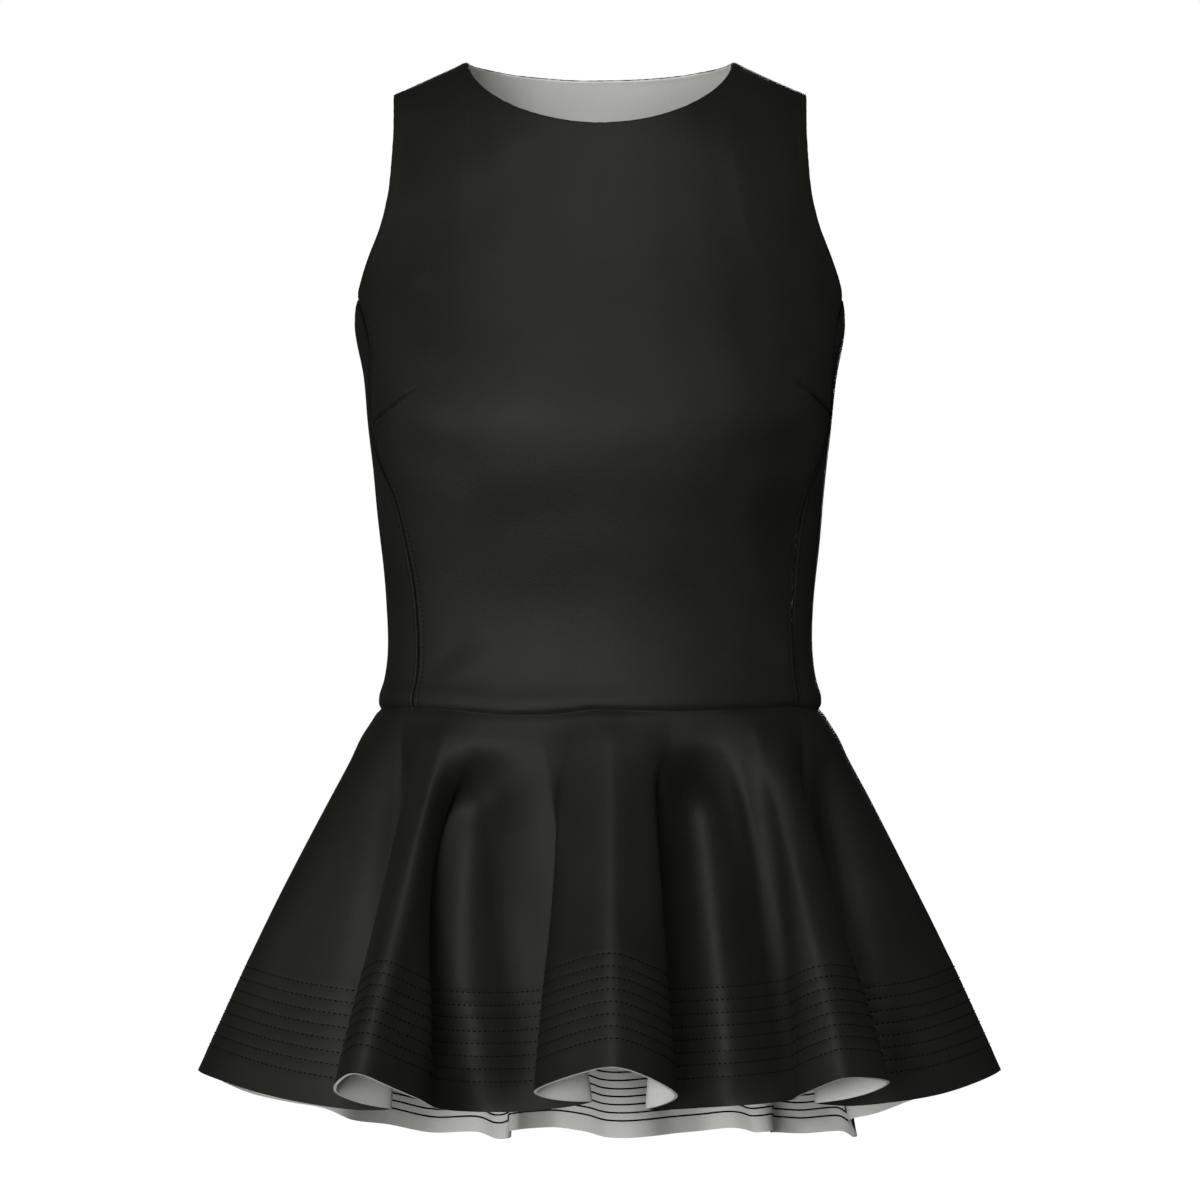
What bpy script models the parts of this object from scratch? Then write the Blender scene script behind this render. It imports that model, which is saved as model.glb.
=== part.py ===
# Sleeveless top with a fluted peplum, cut from thick bonded jersey and filled out as when worn.
# Up is +Z, the front faces -Y, and the wearer's left is +X. The origin lies midway between the
# neck ends of the two shoulder seams. Tables are in millimetres and turned to metres in use.
import math
from collections import namedtuple

import bmesh
import bpy
from mathutils import Vector

mm = 0.001

# Driving dimensions of the bodice
cloth_thickness = 1.8 * mm
seam_gap = 0.3 * mm
neck_half_width = 84.5 * mm
front_neck_drop = 46 * mm
back_neck_drop = 5 * mm
shoulder_half_width = 131.8 * mm
shoulder_tip_drop = 21.5 * mm
shoulder_roundness = 80 * mm
neck_blend_start = 25 * mm
underarm_drop = 152.5 * mm
underarm_dip = 5 * mm
waist_drop = 414 * mm

# How finely the panels are divided
neck_columns = 7
shoulder_columns = 3
torso_rows = 13
armhole_rows = 7
shoulder_rows = 5
side_panel_columns = 7
peplum_rows = 6
front_hem_step = 8.5 * mm
back_hem_step = 9.5 * mm

# Horizontal sections of the filled bodice: how far below the neck point each lies, its half
# width, its depth to the front and to the back, and how square it is (2 is an ellipse).
Section = namedtuple("Section", "drop half_width front back squareness")
bodice_sections = (
    Section(-20, 158.0, 62, 70, 2.2),
    Section(0, 158.0, 66, 76, 2.2),
    Section(50, 158.0, 76, 90, 2.2),
    Section(100, 157.0, 91, 100, 2.2),
    Section(150, 155.4, 106, 103, 2.3),
    Section(171, 156.5, 111, 101, 2.4),
    Section(200, 151.4, 118, 97, 2.7),
    Section(232, 147.8, 122, 91, 2.85),
    Section(262, 144.5, 118, 85, 2.7),
    Section(300, 141.0, 107, 77, 2.45),
    Section(345, 136.6, 97, 72, 2.3),
    Section(380, 136.0, 94.5, 72, 2.3),
    Section(414, 141.4, 98, 80, 2.3),
)

# Where the panels end, as half widths seen from the front: the armhole edges above the
# underarm, and below it the seams of the front and back panels with the two side panels.
PanelEdge = namedtuple("PanelEdge", "drop front_right front_left back")
panel_edges = (
    PanelEdge(10.0, 131.8, 131.8, 131.8),
    PanelEdge(21.5, 131.8, 131.8, 131.8),
    PanelEdge(43.5, 131.0, 131.0, 128.5),
    PanelEdge(66.0, 131.6, 131.6, 127.2),
    PanelEdge(88.0, 133.6, 133.6, 128.5),
    PanelEdge(109.0, 138.7, 138.7, 133.5),
    PanelEdge(128.0, 146.4, 146.4, 142.0),
    PanelEdge(143.0, 152.0, 152.0, 149.5),
    PanelEdge(152.5, 154.3, 154.3, 153.4),
    PanelEdge(168.0, 149.0, 151.0, 150.4),
    PanelEdge(184.0, 145.3, 148.6, 146.4),
    PanelEdge(205.0, 144.9, 147.0, 142.4),
    PanelEdge(232.0, 144.4, 145.0, 139.2),
    PanelEdge(255.0, 139.8, 138.8, 134.8),
    PanelEdge(276.0, 130.5, 131.0, 128.5),
    PanelEdge(300.0, 123.8, 125.6, 122.0),
    PanelEdge(342.0, 116.2, 122.6, 114.0),
    PanelEdge(382.0, 114.4, 122.6, 113.0),
    PanelEdge(414.0, 118.0, 125.0, 119.0),
)

# The flutes of the peplum as the hem runs seen from above, a row for each, from the wearer's
# right side round the front. A flute leaves the body at its first neck, rounds its crown
# and comes back at its last neck. Each place is (x, y). Last come the lengths of the cloth
# from the waist seam to the cut hem at the first neck, the crown and the last neck.
Flute = namedtuple("Flute", "name first_neck first_flank crown last_flank last_neck lengths")
front_flutes = (
    Flute("right side", (-251, -34), (-237, -54), (-205, -77), (-176, -88), (-149, -92),
          (256, 253, 251)),
    Flute("right front", (-131, -93), (-162, -141), (-146, -184), (-112, -164), (-92, -129),
          (249, 245, 247)),
    Flute("centre front", (-5, -128), (-40, -167), (8, -209), (47, -166), (30, -126),
          (242, 236, 245)),
    Flute("left front", (106, -126), (120, -161), (146, -183), (176, -147), (136, -93),
          (244, 247, 246)),
    Flute("left side", (154, -91), (184, -81), (214, -62), (238, -38), (252, -16), (249, 254, 257)),
)
back_flutes = (
    Flute("left hip", (250, 32), (232, 52), (205, 66), (184, 71), (167, 80), (262, 269, 277)),
    Flute("left back", (170, 106), (162, 132), (138, 148), (116, 132), (107, 100), (297, 304, 288)),
    Flute("left of centre back", (99, 106), (88, 118), (70, 122), (50, 110), (32, 93),
          (287, 289, 285)),
    Flute("right of centre back", (8, 93), (-8, 110), (-28, 120), (-46, 112), (-58, 98),
          (285, 284, 282)),
    Flute("right back", (-60, 124), (-82, 146), (-112, 147), (-142, 120), (-167, 82),
          (293, 299, 277)),
    Flute("right hip", (-181, 70), (-204, 61), (-228, 50), (-243, 36), (-252, 22), (270, 268, 261)),
)
front_valleys = {"right front": (-46, -119, 246), "centre front": (68, -116, 244)}
side_reach = 257
side_length = 258
peplum_fullness = 0.03

cloth_colour = (0.0125, 0.0120, 0.0112, 1.0)
cloth_roughness = 0.62


def clear_scene():
    for item in list(bpy.data.objects):
        bpy.data.objects.remove(item, do_unlink=True)


def read_table(table, key, column, value):
    """Read a column between rows along a smooth curve."""
    keys = [getattr(row, key) for row in table]
    values = [getattr(row, column) for row in table]
    if value <= keys[0]:
        return values[0]
    if value >= keys[-1]:
        return values[-1]
    last = len(keys) - 1
    i = max(k for k in range(last) if keys[k] <= value)
    span = keys[i + 1] - keys[i]
    before = max(i - 1, 0)
    after = min(i + 2, last)
    slope_in = (values[i + 1] - values[before]) / (keys[i + 1] - keys[before])
    slope_out = (values[after] - values[i]) / (keys[after] - keys[i])
    f = (value - keys[i]) / span
    return (
        values[i] * (2 * f**3 - 3 * f**2 + 1)
        + values[i + 1] * (3 * f**2 - 2 * f**3)
        + slope_in * span * (f**3 - 2 * f**2 + f)
        + slope_out * span * (f**3 - f**2)
    )


def section_at(z):
    """Half width, front depth, back depth in metres and squareness of the section at z."""
    drop = -z / mm
    half_width, front, back, squareness = (
        read_table(bodice_sections, "drop", column, drop) for column in Section._fields[1:]
    )
    return half_width * mm, front * mm, back * mm, squareness


def section_point(angle, z):
    """A point of the filled form; the angle runs from the centre front to the wearer's left."""
    half_width, front, back, squareness = section_at(z)
    power = 2 / squareness
    sine = math.sin(angle)
    cosine = math.cos(angle)
    x = math.copysign(abs(sine) ** power, sine) * half_width
    depth = abs(cosine) ** power * (front if cosine > 0 else back)
    return x, (-depth if cosine > 0 else depth)


def angle_at_width(x, z):
    """The angle in the front half at which the section at z reaches the half width x."""
    half_width, _, _, squareness = section_at(z)
    return math.asin(min(1.0, x / half_width) ** (squareness / 2))


def ridge_height(x):
    """Height of the shoulder seam's line, carried on and rounded over the neck opening."""
    slope = shoulder_tip_drop / (shoulder_half_width - neck_half_width)
    inside = neck_half_width - abs(x)
    rounded = max(0.0, inside - neck_blend_start)
    return slope * (inside - rounded**2 / (2 * (neck_half_width - neck_blend_start)))


def bodice_point(angle, z):
    """A point of the bodice's outside: the filled section, rounded in to the shoulder ridge."""
    x, y = section_point(angle, z)
    below = (ridge_height(x) - z) / shoulder_roundness
    below = min(max(below, 0.0), 1.0)
    rounding = math.sqrt(1 - (1 - below) ** 2)
    y = math.copysign(seam_gap / 2 + abs(y) * rounding, y)
    return Vector((x, y, z))


def bodice_normal(angle, z, level=False):
    small_angle = 0.002
    small_drop = 0.2 * mm
    across = bodice_point(angle + small_angle, z) - bodice_point(angle - small_angle, z)
    up = bodice_point(angle, z) - bodice_point(angle, z - small_drop)
    normal = across.cross(up)
    if level:
        normal.z = 0.0
    return normal.normalized()


def gap_angle(angle, z):
    """Half the seam gap, as an angle of the section there."""
    step = 0.01
    reach = (bodice_point(angle + step, z) - bodice_point(angle - step, z)).length / (2 * step)
    return seam_gap / 2 / reach


def edge_angle(column, z):
    """The angle of a panel's edge, measured from the centre of its own half."""
    return angle_at_width(read_table(panel_edges, "drop", column, -z / mm) * mm, z)


def neck_height(x, drop, exponent):
    return -drop * (1 - min(1.0, abs(x) / neck_half_width) ** 2) ** exponent


def side_levels():
    """Heights along a panel's side edge, from the waist seam to the shoulder tip."""
    torso = [
        -waist_drop + seam_gap / 2 + (waist_drop - underarm_drop - seam_gap / 2) * i / torso_rows
        for i in range(torso_rows)
    ]
    curve_start = -shoulder_tip_drop - 40 * mm
    armhole = [
        -underarm_drop + (curve_start + underarm_drop) * i / armhole_rows
        for i in range(armhole_rows)
    ]
    shoulder = [
        -shoulder_tip_drop - 40 * mm * (1 - math.sin(math.pi / 2 * i / shoulder_rows))
        for i in range(shoulder_rows + 1)
    ]
    return torso + armhole + shoulder


def wall(name, outer, normals, material):
    """Close a grid of outside points into a cloth wall and make it an object."""
    mesh_maker = bmesh.new()
    rows = len(outer)
    columns = len(outer[0])
    outside = [[mesh_maker.verts.new(p) for p in row] for row in outer]
    inside = [
        [mesh_maker.verts.new(outer[r][c] - normals[r][c] * cloth_thickness) for c in range(columns)]
        for r in range(rows)
    ]
    for r in range(rows - 1):
        for c in range(columns - 1):
            corners = ((r, c), (r, c + 1), (r + 1, c + 1), (r + 1, c))
            mesh_maker.faces.new([outside[i][j] for i, j in corners])
            mesh_maker.faces.new([inside[i][j] for i, j in reversed(corners)])
    rim = [(0, c) for c in range(columns)]
    rim += [(r, columns - 1) for r in range(1, rows)]
    rim += [(rows - 1, c) for c in range(columns - 2, -1, -1)]
    rim += [(r, 0) for r in range(rows - 2, 0, -1)]
    for (r0, c0), (r1, c1) in zip(rim, rim[1:] + rim[:1]):
        mesh_maker.faces.new((outside[r1][c1], outside[r0][c0], inside[r0][c0], inside[r1][c1]))
    bmesh.ops.triangulate(mesh_maker, faces=mesh_maker.faces[:])
    bmesh.ops.recalc_face_normals(mesh_maker, faces=mesh_maker.faces[:])
    mesh = bpy.data.meshes.new(name)
    mesh_maker.to_mesh(mesh)
    mesh_maker.free()
    mesh.shade_smooth()
    mesh.set_sharp_from_angle(angle=math.radians(50))
    mesh.materials.append(material)
    piece = bpy.data.objects.new(name, mesh)
    bpy.context.scene.collection.objects.link(piece)
    return piece


def cloth_material(name):
    material = bpy.data.materials.new(name)
    material.use_nodes = True
    shader = material.node_tree.nodes["Principled BSDF"]
    shader.inputs["Base Color"].default_value = cloth_colour
    shader.inputs["Roughness"].default_value = cloth_roughness
    shader.inputs["Metallic"].default_value = 0.0
    return material


def main_panel_columns(neck_drop, neck_exponent, column):
    """Places across the top edge of the front or back: share of the edge angle, and height."""
    half = []
    for i in range(neck_columns + 1):
        x = neck_half_width * math.sin(math.pi / 2 * i / neck_columns)
        half.append((x, neck_height(x, neck_drop, neck_exponent)))
    for i in range(1, shoulder_columns + 1):
        x = neck_half_width + (shoulder_half_width - neck_half_width) * i / shoulder_columns
        half.append((x, ridge_height(x)))
    tip_angle = edge_angle(column, -shoulder_tip_drop)
    shares = [(angle_at_width(x, z) / tip_angle, z) for x, z in half]
    return [(-share, z) for share, z in reversed(shares[1:])] + shares


def make_main_panel(name, neck_drop, neck_exponent, right_column, left_column, turn):
    """Build the front (turn 0) or the back (turn half a circle) as one piece of cloth."""
    columns = main_panel_columns(neck_drop, neck_exponent, right_column)
    bottom = -waist_drop + seam_gap / 2
    outer = []
    normals = []
    for level in side_levels():
        height_share = (level - bottom) / (-shoulder_tip_drop - bottom)
        points = []
        directions = []
        for share, top in columns:
            z = bottom + height_share * (top - bottom)
            column = right_column if (share < 0) == (turn == 0) else left_column
            edge = edge_angle(column, z)
            if level <= -underarm_drop:
                edge -= gap_angle(edge, z)
            angle = turn + max(-1.0, min(1.0, share)) * edge
            points.append(bodice_point(angle, z))
            directions.append(bodice_normal(angle, z, level=level == bottom))
        outer.append(points)
        normals.append(directions)
    return wall(name, outer, normals, cloth_material(name + "_cloth"))


def make_side_panel(name, front_column, side):
    """Build the panel under one arm, between the seams of the front and the back."""
    bottom = -waist_drop + seam_gap / 2
    levels = [z for z in side_levels() if z <= -underarm_drop + seam_gap]
    outer = []
    normals = []
    for level in levels:
        points = []
        directions = []
        for i in range(side_panel_columns):
            across = i / (side_panel_columns - 1)
            height_share = (level - bottom) / (-underarm_drop - bottom)
            z = level - height_share**4 * underarm_dip * math.sin(math.pi * across)
            front_edge = edge_angle(front_column, z)
            back_edge = math.pi - edge_angle("back", z)
            first = front_edge + gap_angle(front_edge, z)
            last = back_edge - gap_angle(back_edge, z)
            angle = first + (last - first) * across
            points.append(bodice_point(side * angle, z))
            directions.append(bodice_normal(side * angle, z, level=level == bottom))
        outer.append(points)
        normals.append(directions)
    return wall(name, outer, normals, cloth_material(name + "_cloth"))


def smooth_loop(places, samples=24):
    """A smooth closed curve through the places, as many plain points."""
    count = len(places)
    curve = []
    for i in range(count):
        p0, p1, p2, p3 = (Vector(places[(i + k - 1) % count]) for k in range(4))
        t1 = (p1 - p0).length ** 0.5
        t2 = t1 + (p2 - p1).length ** 0.5
        t3 = t2 + (p3 - p2).length ** 0.5
        for k in range(samples):
            t = t1 + (t2 - t1) * k / samples
            a1 = p0 * (t1 - t) / t1 + p1 * t / t1
            a2 = p1 * (t2 - t) / (t2 - t1) + p2 * (t - t1) / (t2 - t1)
            a3 = p2 * (t3 - t) / (t3 - t2) + p3 * (t - t2) / (t3 - t2)
            b1 = a1 * (t2 - t) / t2 + a2 * t / t2
            b2 = a2 * (t3 - t) / (t3 - t1) + a3 * (t - t1) / (t3 - t1)
            curve.append(b1 * (t2 - t) / (t2 - t1) + b2 * (t - t1) / (t2 - t1))
    return curve


def running_lengths(points):
    lengths = [0.0]
    for a, b in zip(points, points[1:]):
        lengths.append(lengths[-1] + (b - a).length)
    return lengths


def point_at_share(points, lengths, share):
    """The point of an open run of points at a share of its length."""
    target = lengths[-1] * min(max(share, 0.0), 1.0)
    i = 0
    while i < len(lengths) - 2 and lengths[i + 1] < target:
        i += 1
    f = (target - lengths[i]) / (lengths[i + 1] - lengths[i])
    return points[i].lerp(points[i + 1], f)


def flute_places(flute):
    """The five places of a flute as (x, y, length of the cloth there)."""
    first, crown, last = flute.lengths
    lengths = (first, (first + crown) / 2, crown, (crown + last) / 2, last)
    return [(x, y, length) for (x, y), length in zip(flute[1:6], lengths)]


def hem_halves():
    """The hem from above, with the cloth's length as third value: its front from right to
    left, and its back from left to right."""
    places = [(-side_reach, 0, side_length)]
    for flute in front_flutes:
        places += flute_places(flute)
        if flute.name in front_valleys:
            places.append(front_valleys[flute.name])
    turning = len(places)
    places.append((side_reach, 0, side_length))
    for flute in back_flutes:
        places += flute_places(flute)
    samples = 24
    loop = [point * mm for point in smooth_loop(places, samples)]
    return loop[: turning * samples + 1], loop[turning * samples :] + loop[:1]


def waist_half(start, end):
    """The waist seam seen from above, between two angles of its section."""
    steps = 240
    points = []
    for i in range(steps + 1):
        x, y = section_point(start + (end - start) * i / steps, -waist_drop)
        points.append(Vector((x, y, 0.0)))
    return points


def make_peplum(name, hem, waist, hem_step):
    """Build half the peplum: straight falls of cloth from the waist seam to the fluted hem."""
    hem_run = running_lengths(hem)
    waist_run = running_lengths(waist)
    hem_gap = seam_gap / 2 / hem_run[-1]
    waist_gap = seam_gap / 2 / waist_run[-1]
    top = -waist_drop - seam_gap / 2

    def point(share, down):
        start = point_at_share(waist, waist_run, waist_gap + share * (1 - 2 * waist_gap))
        end = point_at_share(hem, hem_run, hem_gap + share * (1 - 2 * hem_gap))
        fall = math.sqrt(end.z**2 - (end - start).xy.length ** 2)
        spread = down + peplum_fullness * math.sin(math.pi * down)
        place = start.lerp(end, spread)
        return Vector((place.x, place.y, top - fall * down))

    def normal(share, down):
        small = 0.0015
        before = point(max(share - small, 0.0), down)
        after = point(min(share + small, 1.0), down)
        higher = point(share, max(down - small, 0.0))
        lower = point(share, min(down + small, 1.0))
        direction = (after - before).cross(higher - lower)
        if down == 0:
            direction.z = 0.0
        return direction.normalized()

    columns = round(hem_run[-1] / hem_step)
    outer = []
    normals = []
    for r in range(peplum_rows, -1, -1):
        down = r / peplum_rows
        outer.append([point(c / columns, down) for c in range(columns + 1)])
        normals.append([normal(c / columns, down) for c in range(columns + 1)])
    return wall(name, outer, normals, cloth_material(name + "_cloth"))


def make_top():
    clear_scene()
    make_main_panel("front", front_neck_drop, 0.55, "front_right", "front_left", 0.0)
    make_main_panel("back", back_neck_drop, 0.8, "back", "back", math.pi)
    make_side_panel("side_left", "front_left", 1)
    make_side_panel("side_right", "front_right", -1)
    front_hem, back_hem = hem_halves()
    quarter = math.pi / 2
    make_peplum("peplum_front", front_hem, waist_half(-quarter, quarter), front_hem_step)
    make_peplum("peplum_back", back_hem, waist_half(quarter, 3 * quarter), back_hem_step)


make_top()
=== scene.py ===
import math

import bpy
import numpy as np
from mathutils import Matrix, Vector, kdtree


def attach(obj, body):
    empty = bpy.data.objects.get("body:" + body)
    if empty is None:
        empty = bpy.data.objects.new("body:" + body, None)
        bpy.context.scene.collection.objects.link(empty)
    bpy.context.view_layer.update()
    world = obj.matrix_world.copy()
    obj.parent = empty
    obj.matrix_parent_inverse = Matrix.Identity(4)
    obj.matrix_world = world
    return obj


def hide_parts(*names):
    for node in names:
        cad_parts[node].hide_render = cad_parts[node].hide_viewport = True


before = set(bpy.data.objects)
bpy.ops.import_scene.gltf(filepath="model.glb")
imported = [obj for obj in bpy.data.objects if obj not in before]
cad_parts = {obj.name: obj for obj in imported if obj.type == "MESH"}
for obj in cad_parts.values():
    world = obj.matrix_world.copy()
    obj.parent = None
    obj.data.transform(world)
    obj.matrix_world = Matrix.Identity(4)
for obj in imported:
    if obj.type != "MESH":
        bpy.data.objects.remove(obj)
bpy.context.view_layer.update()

mm = 0.001
bodyName = "root"

# The garment's own form, in millimetres, with the same named sizes as its solids.
form = {
    "neckHalfWidth": 84.5,
    "shoulderHalfWidth": 131.8,
    "shoulderTipDrop": 21.5,
    "shoulderRoundness": 80,
    "neckBlendStart": 25,
    "underarmDrop": 152.5,
    "underarmDip": 5,
    "waistDrop": 414,
    "seamGap": 0.04,
    "thickness": 1.8,
}

# drop, half width, front depth, back depth, squareness
bodiceSections = np.array([
    (-20, 158.0, 62, 70, 2.2),
    (0, 158.0, 66, 76, 2.2),
    (50, 158.0, 76, 90, 2.2),
    (100, 157.0, 91, 100, 2.2),
    (150, 155.4, 106, 103, 2.3),
    (171, 156.5, 111, 101, 2.4),
    (200, 151.4, 118, 97, 2.7),
    (232, 147.8, 122, 91, 2.85),
    (262, 144.5, 118, 85, 2.7),
    (300, 141.0, 107, 77, 2.45),
    (345, 136.6, 97, 72, 2.3),
    (380, 136.0, 94.5, 72, 2.3),
    (414, 141.4, 98, 80, 2.3),
])

# drop, then the half width at which the front's right and left edges and the back's edges lie
panelEdges = np.array([
    (10.0, 131.8, 131.8, 131.8),
    (21.5, 131.8, 131.8, 131.8),
    (43.5, 131.0, 131.0, 128.5),
    (66.0, 131.6, 131.6, 127.2),
    (88.0, 133.6, 133.6, 128.5),
    (109.0, 138.7, 138.7, 133.5),
    (128.0, 146.4, 146.4, 142.0),
    (143.0, 152.0, 152.0, 149.5),
    (152.5, 154.3, 154.3, 153.4),
    (168.0, 149.0, 151.0, 150.4),
    (184.0, 145.3, 148.6, 146.4),
    (205.0, 144.9, 147.0, 142.4),
    (232.0, 144.4, 145.0, 139.2),
    (255.0, 139.8, 138.8, 134.8),
    (276.0, 130.5, 131.0, 128.5),
    (300.0, 123.8, 125.6, 122.0),
    (342.0, 116.2, 122.6, 114.0),
    (382.0, 114.4, 122.6, 113.0),
    (414.0, 118.0, 125.0, 119.0),
])
edgeColumn = {"frontRight": 1, "frontLeft": 2, "back": 3}

# across, then how far the waist seam strays from level in front and at the back
waistWave = np.array([
    (-141, 0.0, 0.0), (-118, 1.6, -1.2), (-88, 0.2, 0.8), (-59, -2.1, 1.6), (-30, -1.6, 0.2),
    (-6, 1.4, -1.4), (12, 1.2, -0.6), (45, 0.4, 1.2), (80, 1.0, 0.4), (118, 2.4, -1.6), (141, 0.0, 0.0),
])


def readTable(rows, column, at):
    # reads a column between rows along a smooth curve
    keys, values = rows[:, 0], rows[:, column]
    at = np.clip(at, keys[0], keys[-1])
    i = np.clip(np.searchsorted(keys, at, side="right") - 1, 0, len(keys) - 2)
    before, after = np.maximum(i - 1, 0), np.minimum(i + 2, len(keys) - 1)
    span = keys[i + 1] - keys[i]
    slopeIn = (values[i + 1] - values[before]) / (keys[i + 1] - keys[before])
    slopeOut = (values[after] - values[i]) / (keys[after] - keys[i])
    f = (at - keys[i]) / span
    return (
        values[i] * (2 * f**3 - 3 * f**2 + 1)
        + values[i + 1] * (3 * f**2 - 2 * f**3)
        + slopeIn * span * (f**3 - 2 * f**2 + f)
        + slopeOut * span * (f**3 - f**2)
    )


def sectionPoint(angle, z):
    halfWidth, front, back, squareness = (readTable(bodiceSections, c, -z) for c in (1, 2, 3, 4))
    power = 2 / squareness
    sine, cosine = np.sin(angle), np.cos(angle)
    x = np.sign(sine) * np.abs(sine) ** power * halfWidth
    depth = np.abs(cosine) ** power * np.where(cosine > 0, front, back)
    return x, np.where(cosine > 0, -depth, depth)


def angleAtWidth(x, z):
    halfWidth, squareness = readTable(bodiceSections, 1, -z), readTable(bodiceSections, 4, -z)
    return np.arcsin(np.minimum(1.0, x / halfWidth) ** (squareness / 2))


def ridgeHeight(x):
    slope = form["shoulderTipDrop"] / (form["shoulderHalfWidth"] - form["neckHalfWidth"])
    inside = form["neckHalfWidth"] - np.abs(x)
    rounded = np.maximum(0.0, inside - form["neckBlendStart"])
    return slope * (inside - rounded**2 / (2 * (form["neckHalfWidth"] - form["neckBlendStart"])))


def bodicePoint(angle, z):
    x, y = sectionPoint(angle, z)
    below = np.clip((ridgeHeight(x) - z) / form["shoulderRoundness"], 0.0, 1.0)
    y = np.where(y < 0, -1, 1) * (form["seamGap"] / 2 + np.abs(y) * np.sqrt(1 - (1 - below) ** 2))
    return np.stack([x, y, z + 0 * x], axis=-1)


def edgeAngle(column, z):
    return angleAtWidth(readTable(panelEdges, edgeColumn[column], -z), z)


def gapAngle(angle, z):
    reach = np.linalg.norm(bodicePoint(angle + 0.01, z) - bodicePoint(angle - 0.01, z), axis=-1) / 0.02
    return form["seamGap"] / 2 / reach


def onBodice(x, drop, half):
    # a place on the front or back, given as seen from straight in front
    z = -np.asarray(drop, float)
    x = np.asarray(x, float)
    angle = angleAtWidth(np.abs(x), z) * np.sign(x)
    return bodicePoint(angle if half == "front" else math.pi - angle, z)


def spread(stops):
    # division points along a line: each stop is (where a stretch ends, its spacing)
    places = [0.0]
    for end, spacing in stops:
        start = places[-1]
        count = max(1, round((end - start) / spacing))
        places += [start + (end - start) * (i + 1) / count for i in range(count)]
    return np.array(places)


def runs(points, axis):
    steps = np.linalg.norm(np.diff(points, axis=axis), axis=-1)
    first = np.zeros_like(np.take(steps, [0], axis=axis))
    return np.cumsum(np.concatenate([first, steps], axis=axis), axis=axis)


def gridNormals(points):
    across = np.gradient(points, axis=1)
    up = np.gradient(points, axis=0)
    normals = np.cross(across, up)
    return normals / np.maximum(np.linalg.norm(normals, axis=-1, keepdims=True), 1e-9)


def finer(line, spacing=0.4):
    line = np.asarray(line, float)
    lengths = runs(line[:, None, :], 0)[:, 0]
    at = np.linspace(0, lengths[-1], max(2, int(lengths[-1] / spacing)))
    return np.stack([np.interp(at, lengths, line[:, k]) for k in range(3)], axis=-1)


def nearLine(points, line, reach):
    # distance of each grid point from a line, and how far along it the nearest place is (0 to 1)
    line = finer(line)
    tree = kdtree.KDTree(len(line))
    for i, p in enumerate(line):
        tree.insert(p, i)
    tree.balance()
    distance = np.full(points.shape[:2], 1e3)
    along = np.zeros(points.shape[:2])
    inReach = np.all((points > line.min(0) - reach) & (points < line.max(0) + reach), axis=-1)
    for r, c in zip(*np.nonzero(inReach)):
        _, i, d = tree.find(points[r, c])
        distance[r, c] = d
        along[r, c] = i / (len(line) - 1)
    return distance, along


def bell(distance, width):
    return np.exp(-((distance / width) ** 2))


def ramp(value, start, end):
    f = np.clip((value - start) / (end - start), 0.0, 1.0)
    return f * f * (3 - 2 * f)


def unevenness(u, v, size, seed):
    # slow waves with no pattern, about -1 to 1
    waves = np.random.default_rng(seed)
    total = 0 * u
    for _ in range(7):
        turn = waves.uniform(0, math.pi)
        pitch = size * waves.uniform(0.6, 1.7)
        phase = waves.uniform(0, 2 * math.pi)
        total = total + np.sin((u * math.cos(turn) + v * math.sin(turn)) * 2 * math.pi / pitch + phase)
    return total / 4.5


def edgeRounding(distance, thickness):
    # how far each face of the cloth draws back near a turned or sewn edge
    radius = thickness * 0.5
    near = np.clip(1 - distance / radius, 0.0, 1.0)
    return radius * (1 - np.sqrt(1 - near**2)) * 0.92


def addObject(name, content):
    item = bpy.data.objects.new(name, content)
    bpy.context.scene.collection.objects.link(item)
    return item


def clothPiece(name, outer, inner, uv, faceKinds):
    # kinds of face: 0 the outside cloth, 1 the inside cloth, 2 the cut edge
    rows, columns = outer.shape[:2]
    count = rows * columns
    points = np.concatenate([outer.reshape(-1, 3), inner.reshape(-1, 3)]) * mm
    index = np.arange(count).reshape(rows, columns)
    a, b, c, d = index[:-1, :-1], index[:-1, 1:], index[1:, 1:], index[1:, :-1]
    outside = np.stack([a, b, c, d], axis=-1).reshape(-1, 4)
    inside = np.stack([d, c, b, a], axis=-1).reshape(-1, 4) + count
    rim = np.concatenate([index[0, :], index[1:, -1], index[-1, -2::-1], index[-2:0:-1, 0]])
    follow = np.roll(rim, -1)
    rimFaces = np.stack([follow, rim, rim + count, follow + count], axis=-1)
    faces = np.concatenate([outside, inside, rimFaces])
    bottomRim = columns - 1
    kinds = np.concatenate([
        faceKinds["outside"].reshape(-1), faceKinds["inside"].reshape(-1),
        np.full(len(rimFaces), faceKinds["rim"]),
    ])
    kinds[len(outside) + len(inside):len(outside) + len(inside) + bottomRim] = faceKinds["bottomRim"]
    mesh = bpy.data.meshes.new(name)
    mesh.from_pydata(points.tolist(), [], faces.tolist())
    layer = mesh.uv_layers.new(name="clothRun")
    corners = faces.reshape(-1) % count
    layer.data.foreach_set("uv", (uv.reshape(-1, 2)[corners] * mm).astype(np.float32).reshape(-1))
    for material in clothMaterials:
        mesh.materials.append(material)
    mesh.polygons.foreach_set("material_index", kinds.astype(np.int32))
    mesh.shade_smooth()
    mesh.set_sharp_from_angle(angle=math.radians(55))
    mesh.update()
    print(name, len(faces) * 2, "triangles")
    return addObject(name, mesh)


def ownClothPart(piece, node):
    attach(piece, bodyName)
    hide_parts(node)


def addNode(tree, kind, inputs, **settings):
    # a node whose inputs take plain values or the outputs of other nodes
    node = tree.nodes.new(kind)
    for setting, value in settings.items():
        setattr(node, setting, value)
    for socket, value in inputs.items():
        if isinstance(value, bpy.types.NodeSocket):
            tree.links.new(value, node.inputs[socket])
        else:
            node.inputs[socket].default_value = value
    return node


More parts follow.
